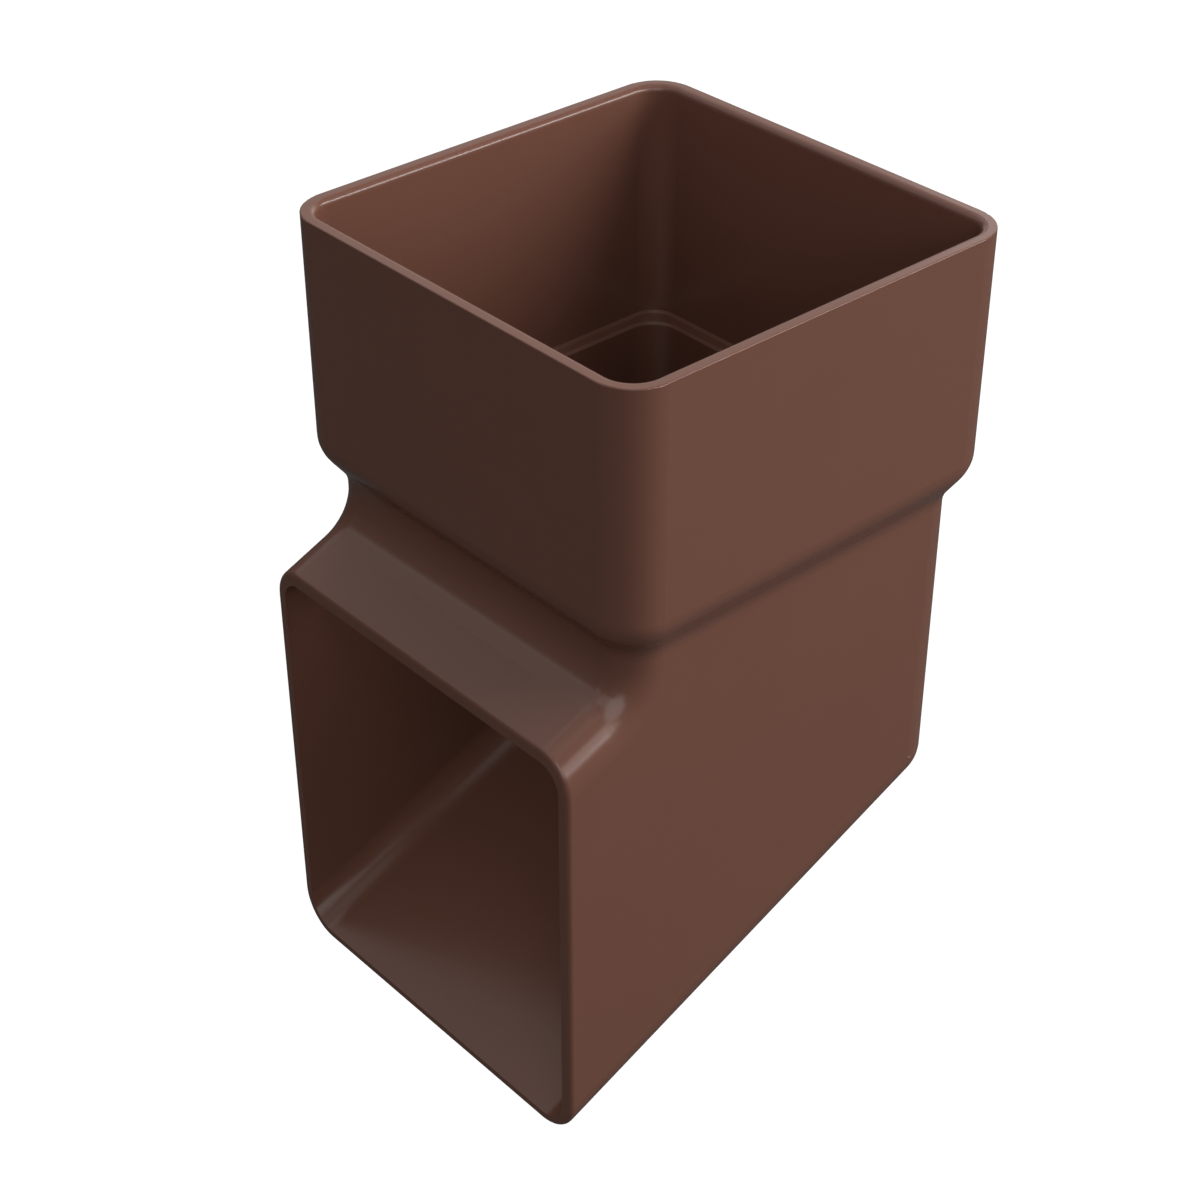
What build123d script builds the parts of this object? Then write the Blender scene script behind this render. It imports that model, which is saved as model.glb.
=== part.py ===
from build123d import *
import os
from math import acos, cos, radians, tan

# A shoe for the foot of a square downpipe, moulded in one piece. The socket takes the pipe, a rounded
# shoulder steps in to a slimmer body, and the body turns through a neck into an outlet that slopes
# forward and ends in an upright mouth.
# Frame: Z up along the pipe's axis, the outlet towards -Y, the origin at the middle of the pipe stop.
# Sizes are in millimetres, angles in degrees.

# Socket
pipe_width = 65.0  # square downpipe that the socket takes, outside
pipe_clearance = 0.3  # between the pipe and the socket, on each side
socket_wall = 2.2
socket_depth = 38.0  # from the rim down to the pipe stop
socket_corner = 6.4  # outside radius of the upright corners
stop_ledge = 2.35  # width of the ledge that stops the pipe
stop_bevel = 0.4  # bevel on the ledge's free edge and in the corner behind it
lead_in = 1.0  # rounding of the rim's inner edge, which guides the pipe in
rim_round = 0.2  # rounding of the rim's outer edge

# Shoulder, where the socket steps in to the body
shoulder_rise = 1.35  # top of its slant, above the pipe stop
shoulder_round = 5.5  # convex rounding at its top
shoulder_hollow = 4.5  # concave rounding at its foot
shoulder_share = 0.5  # how much of the step inwards the two roundings take up

# Body and outlet
body_wall = 1.9
front_setback = 0.75  # how much further in the front wall stands than the other three
neck_drop = 10.03  # where the lines of the front wall and the roof meet, below the pipe stop
neck_round = 6.4  # concave radius there
fall_angle = 22.5  # slope of the outlet below level
mouth_overhang = 7.87  # mouth ahead of the socket's front
front_edge = 5.5  # radius along the front wall's and the roof's edges
back_edge = 6.6  # radius along the back wall's and the floor's edges, and across the heel
lip_round = 0.8  # rounding of the mouth's outer edge

# Derived sizes
socket_inside = pipe_width + 2 * pipe_clearance
socket_outside = socket_inside + 2 * socket_wall
body_width = socket_inside - 2 * stop_ledge + 2 * body_wall  # also the outlet's depth, square to its slope
front_y = front_setback - body_width / 2
mouth_y = -socket_outside / 2 - mouth_overhang
slope = tan(radians(fall_angle))
upright = 1 / cos(radians(fall_angle))  # upright measure of a depth that is square to the slope
shoulder_step = (socket_outside - body_width) / 2
shoulder_turn = acos(1 - shoulder_share * shoulder_step / (shoulder_round + shoulder_hollow))
shoulder_foot = shoulder_rise - shoulder_step / tan(shoulder_turn)
overrun = 2 * socket_wall  # how far a cutter passes the face that it opens
near = 0.01  # how close to a level an edge lies that belongs to it


def outlet_height(y, depth):
    # Height of the outlet's line at the given depth under the outside of its roof
    return -neck_drop + (y - front_y) * slope - depth * upright


def along_sides(leg, facing):
    # The edges on both sides of the faces that look forward (-1) or backward (1)
    faces = [f for f in leg.faces().filter_by(Plane.YZ, reverse=True) if f.normal_at().Y * facing > near]
    return ShapeList([e for f in faces for e in f.edges()]).filter_by(Axis.X, reverse=True)


def bent_leg(inset, top_z, end_y):
    # The throat and the outlet as one solid, its walls set in by the inset
    half = body_width / 2 - inset
    floor_depth = body_width - inset
    heel = (half, outlet_height(half, floor_depth))
    neck = (front_y + inset, outlet_height(front_y + inset, inset))
    lip_low = (end_y, outlet_height(end_y, floor_depth))
    lip_high = (end_y, outlet_height(end_y, inset))
    side = make_face(Polyline((half, top_z), heel, lip_low, lip_high, neck, (neck[0], top_z), close=True))
    side = fillet(side.vertices().sort_by_distance(neck)[0], neck_round + inset)
    leg = extrude(Plane.YZ * side, amount=half, both=True)
    front = [e for e in along_sides(leg, -1) if e.center().Y > end_y + near]
    leg = fillet(front, front_edge - inset)
    across_heel = leg.edges().filter_by(Axis.X).sort_by_distance((0, *heel))[0]
    return fillet([across_heel, *along_sides(leg, 1)], back_edge - inset)


def square_plate(width, corner, z):
    return Pos(0, 0, z) * RectangleRounded(width, width, corner)


def level_edges(solid, z):
    return solid.edges().filter_by_position(Axis.Z, z - near, z + near)


def outside():
    leg = bent_leg(0, shoulder_foot, mouth_y)
    socket_base = square_plate(socket_outside, socket_corner, shoulder_rise)
    shoulder = loft([leg.faces().sort_by(Axis.Z)[-1], socket_base], ruled=True)
    body = leg + shoulder + extrude(socket_base, socket_depth - shoulder_rise)
    body = fillet(level_edges(body, shoulder_rise), shoulder_round)
    body = fillet(level_edges(body, shoulder_foot), shoulder_hollow)
    body = fillet(level_edges(body, socket_depth), rim_round)
    return fillet(body.faces().sort_by(Axis.Y)[0].edges(), lip_round)


def hollow():
    cavity = extrude(square_plate(socket_inside, socket_corner - socket_wall, 0), socket_depth + overrun)
    space = cavity + bent_leg(body_wall, overrun, mouth_y - overrun)
    return chamfer(level_edges(space, 0), stop_bevel)


shoe = outside() - hollow()
rim = shoe.faces().sort_by(Axis.Z)[-1]
shoe = fillet(rim.inner_wires()[0].edges(), lead_in)

os.makedirs("parts", exist_ok=True)
export_step(shoe, "parts/shoe_body.step")
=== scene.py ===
import bpy
from math import cos, radians, sin
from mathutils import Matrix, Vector


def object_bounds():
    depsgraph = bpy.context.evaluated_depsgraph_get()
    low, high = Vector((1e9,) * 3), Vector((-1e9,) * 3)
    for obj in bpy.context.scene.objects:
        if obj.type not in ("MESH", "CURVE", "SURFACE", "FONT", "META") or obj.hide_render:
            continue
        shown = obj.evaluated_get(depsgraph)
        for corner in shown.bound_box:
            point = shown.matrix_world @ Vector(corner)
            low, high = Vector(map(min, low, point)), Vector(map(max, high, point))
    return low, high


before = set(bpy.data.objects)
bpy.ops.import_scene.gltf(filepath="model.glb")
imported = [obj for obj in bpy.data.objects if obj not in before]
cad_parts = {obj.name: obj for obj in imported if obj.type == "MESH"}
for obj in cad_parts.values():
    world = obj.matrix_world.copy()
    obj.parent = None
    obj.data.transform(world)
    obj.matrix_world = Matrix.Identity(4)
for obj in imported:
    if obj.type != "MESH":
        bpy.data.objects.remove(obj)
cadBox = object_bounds()
bpy.ops.object.select_all(action="DESELECT")
print("frame loaded:", sorted(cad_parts))


class Wire:
    # one node output, so that sums between outputs read as plain expressions
    def __init__(self, tree, socket):
        self.tree = tree
        self.socket = socket

    def sum(self, operation, first, second):
        return addNode(self.tree, "ShaderNodeMath", {"operation": operation}, {0: first, 1: second})

    def __add__(self, other):
        return self.sum("ADD", self, other)

    def __radd__(self, other):
        return self.sum("ADD", other, self)

    def __sub__(self, other):
        return self.sum("SUBTRACT", self, other)

    def __rsub__(self, other):
        return self.sum("SUBTRACT", other, self)

    def __mul__(self, other):
        return self.sum("MULTIPLY", self, other)

    def __rmul__(self, other):
        return self.sum("MULTIPLY", other, self)


def addNode(tree, kind, settings=None, sockets=None, output=0):
    node = tree.nodes.new(kind)
    for name, value in (settings or {}).items():
        setattr(node, name, value)
    for key, value in (sockets or {}).items():
        if isinstance(value, Wire):
            tree.links.new(value.socket, node.inputs[key])
        else:
            node.inputs[key].default_value = value
    return Wire(tree, node.outputs[output]) if node.outputs else node


def newTree(block):
    block.use_nodes = True
    block.node_tree.nodes.clear()
    return block.node_tree


# Brown uPVC, coloured through the wall, with the even sheen of a polished mould
brownUpvc = {
    "brown": (0.140, 0.060, 0.0405, 1),
    "paleBrown": (0.150, 0.067, 0.0465, 1),  # where pigment thins a little
    "roughness": 0.22,
    "roughnessSpread": 0.05,
    "ior": 1.5,
    "mottleSize": 0.018,  # metres
    "grainSize": 0.0004,
    "flowSize": 0.003,
    "mottleDetail": 3,
    "fineDetail": 2,
    "flowStretch": 0.12,  # flow lines run along the pipe
    "mottleInTone": 0.6,  # shares in the change of colour
    "flowInTone": 0.25,
    "grainInTone": 0.15,
    "grainInRelief": 0.7,  # shares in the relief
    "flowInRelief": 0.3,
    "bumpDepth": 0.000006,  # metres
}


def makeBrownUpvc():
    look = brownUpvc
    material = bpy.data.materials.new("brownUpvc")
    tree = newTree(material)
    place = addNode(tree, "ShaderNodeTexCoord", output="Object")
    alongPipe = addNode(tree, "ShaderNodeMapping", None,
                        {"Vector": place, "Scale": (1, 1, look["flowStretch"])})
    mottle = addNode(tree, "ShaderNodeTexNoise", None,
                     {"Vector": place, "Scale": 1 / look["mottleSize"], "Detail": look["mottleDetail"]})
    grain = addNode(tree, "ShaderNodeTexNoise", None,
                    {"Vector": place, "Scale": 1 / look["grainSize"], "Detail": look["fineDetail"]})
    flow = addNode(tree, "ShaderNodeTexNoise", None,
                   {"Vector": alongPipe, "Scale": 1 / look["flowSize"], "Detail": look["fineDetail"]})
    tone = mottle * look["mottleInTone"] + flow * look["flowInTone"] + grain * look["grainInTone"]
    colour = addNode(tree, "ShaderNodeMix", {"data_type": "RGBA"},
                     {"Factor": tone, 6: look["brown"], 7: look["paleBrown"]}, output=2)
    sheen = (mottle + grain - 1) * (look["roughnessSpread"] / 2) + look["roughness"]
    relief = grain * look["grainInRelief"] + flow * look["flowInRelief"]
    bump = addNode(tree, "ShaderNodeBump", None,
                   {"Strength": 1, "Distance": look["bumpDepth"], "Height": relief})
    plastic = addNode(tree, "ShaderNodeBsdfPrincipled", None,
                      {"Base Color": colour, "Roughness": sheen, "Normal": bump, "IOR": look["ior"]})
    addNode(tree, "ShaderNodeOutputMaterial", None, {"Surface": plastic})
    return material


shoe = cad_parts["shoe_body"]
shoe.data.materials.clear()
shoe.data.materials.append(makeBrownUpvc())
print("shoe finished in brown uPVC")


def awayFrom(azimuth, elevation):
    # unit vector from the shoe towards a place in the studio; azimuth 0 is the front, 90 the right
    turn = radians(azimuth)
    rise = radians(elevation)
    return Vector((sin(turn) * cos(rise), -cos(turn) * cos(rise), sin(rise)))


# Pale floor below the lip, white to the camera and dim in the light that it throws back
floorLook = {
    "gap": 0.05,  # metres below the lip
    "size": 6.0,
    "glow": 0.92,  # the white that no shadow reaches
    "pale": (0.13, 0.13, 0.13, 1),  # takes the soft shadow
    "dim": (0.06, 0.06, 0.06, 1),
    "sheen": 0.01,  # how much of the pale floor a sheen shows
}


def raysToCamera(tree):
    return addNode(tree, "ShaderNodeLightPath", output="Is Camera Ray")


def raysInSheen(tree):
    glossy = addNode(tree, "ShaderNodeLightPath", output="Is Glossy Ray")
    through = addNode(tree, "ShaderNodeLightPath", output="Is Transmission Ray")
    return glossy + through


def makeFloor():
    lip = cadBox[0].z  # the lowest point of the shoe
    bpy.ops.mesh.primitive_plane_add(size=floorLook["size"], location=(0, 0, lip - floorLook["gap"]))
    floor = bpy.context.object
    floor.name = "floor"
    material = bpy.data.materials.new("paleFloor")
    tree = newTree(material)
    dim = addNode(tree, "ShaderNodeBsdfDiffuse", None, {"Color": floorLook["dim"]})
    pale = addNode(tree, "ShaderNodeBsdfDiffuse", None, {"Color": floorLook["pale"]})
    glow = addNode(tree, "ShaderNodeEmission", None, {"Strength": floorLook["glow"]})
    white = addNode(tree, "ShaderNodeAddShader", None, {0: glow, 1: pale})
    seen = raysToCamera(tree) + raysInSheen(tree) * floorLook["sheen"]
    both = addNode(tree, "ShaderNodeMixShader", None, {0: seen, 1: dim, 2: white})
    addNode(tree, "ShaderNodeOutputMaterial", None, {"Surface": both})
    floor.data.materials.append(material)


makeFloor()
print("floor laid")


# Soft studio light round the middle of the shoe. Some panels only light it, some only show in its sheen.
studio = {  # degrees, metres and watts
    "key": {"azimuth": 135, "elevation": 30, "size": (0.8, 0.8), "shape": "ELLIPSE",
            "watts": 9.6, "role": "light"},
    "fill": {"azimuth": 49, "elevation": 32, "size": (0.7, 0.7), "shape": "ELLIPSE",
             "watts": 1.8, "role": "both"},
    "behind": {"azimuth": 225, "elevation": 50, "size": (0.6, 0.6), "shape": "ELLIPSE",
               "watts": 2.7, "role": "light"},
    "top": {"azimuth": 0, "elevation": 88, "size": (0.8, 0.8), "shape": "RECTANGLE",
            "watts": 0.75, "role": "both"},
    "strip": {"azimuth": 128, "elevation": 26, "size": (0.9, 0.14), "shape": "RECTANGLE",
              "watts": 4.7, "role": "sheen"},
    "edge": {"azimuth": 92, "elevation": 31, "size": (0.36, 0.45), "shape": "RECTANGLE",
             "watts": 0.98, "role": "sheen"},
    "front": {"azimuth": 8, "elevation": 43, "size": (0.5, 0.4), "shape": "RECTANGLE",
              "watts": 0.44, "role": "sheen"},
    "back": {"azimuth": 200, "elevation": 20, "size": (0.5, 0.4), "shape": "RECTANGLE",
             "watts": 0.57, "role": "sheen"},
    "rim": {"azimuth": 228, "elevation": 30, "size": (0.7, 0.8), "shape": "RECTANGLE",
            "watts": 0.85, "role": "sheen"},
    "left": {"azimuth": 300, "elevation": 47, "size": (1.3, 0.68), "shape": "RECTANGLE",
             "watts": 1.4, "role": "sheen"},
    "lower": {"azimuth": 312, "elevation": 29, "size": (0.7, 0.08), "shape": "RECTANGLE",
              "watts": 0.045, "role": "sheen"},
}
panelDistance = 0.9  # metres
worldLook = {
    "fill": 0.345,  # what lights the shoe from all round
    "white": 1.0,  # what the camera sees
    "sheen": 0.08,  # what shows in the plastic between the panels
}


def addLamp(name, lamp):
    low, high = cadBox
    middle = (low + high) / 2
    outward = awayFrom(lamp["azimuth"], lamp["elevation"])
    bpy.ops.object.light_add(type="AREA", location=middle + outward * panelDistance)
    light = bpy.context.object
    light.name = name
    light.data.shape = lamp["shape"]
    light.data.size, light.data.size_y = lamp["size"]
    light.data.energy = lamp["watts"]
    light.visible_diffuse = lamp["role"] != "sheen"
    light.visible_glossy = lamp["role"] != "light"
    light.rotation_euler = (-outward).to_track_quat("-Z", "Y").to_euler()


def lightWorld():
    look = worldLook
    world = bpy.data.worlds.new("studio")
    bpy.context.scene.world = world
    tree = newTree(world)
    toCamera = raysToCamera(tree) * (look["white"] - look["fill"])
    inSheen = raysInSheen(tree) * (look["sheen"] - look["fill"])
    white = addNode(tree, "ShaderNodeBackground", None,
                    {"Color": (1, 1, 1, 1), "Strength": look["fill"] + toCamera + inSheen})
    addNode(tree, "ShaderNodeOutputWorld", None, {"Surface": white})


for name, lamp in studio.items():
    addLamp(name, lamp)
lightWorld()
print("lamps set:", len(studio))


# Camera at the photograph's angle
shot = {
    "azimuth": 48.234,  # degrees
    "elevation": 34.784,
    "aim": (-0.0023, -0.0063, -0.0230),  # metres
    "distance": 0.3508,
    "lens": 71.12,  # millimetres
    "sensor": 36.0,
    "nearest": 0.01,  # metres
}


def setCamera():
    back = awayFrom(shot["azimuth"], shot["elevation"])
    bpy.ops.object.camera_add(location=Vector(shot["aim"]) + back * shot["distance"])
    camera = bpy.context.object
    camera.rotation_euler = (-back).to_track_quat("-Z", "Y").to_euler()
    camera.data.lens = shot["lens"]
    camera.data.sensor_width = shot["sensor"]
    camera.data.clip_start = shot["nearest"]
    bpy.context.scene.camera = camera
    bpy.context.scene.view_settings.view_transform = "Standard"


setCamera()
print("camera set")
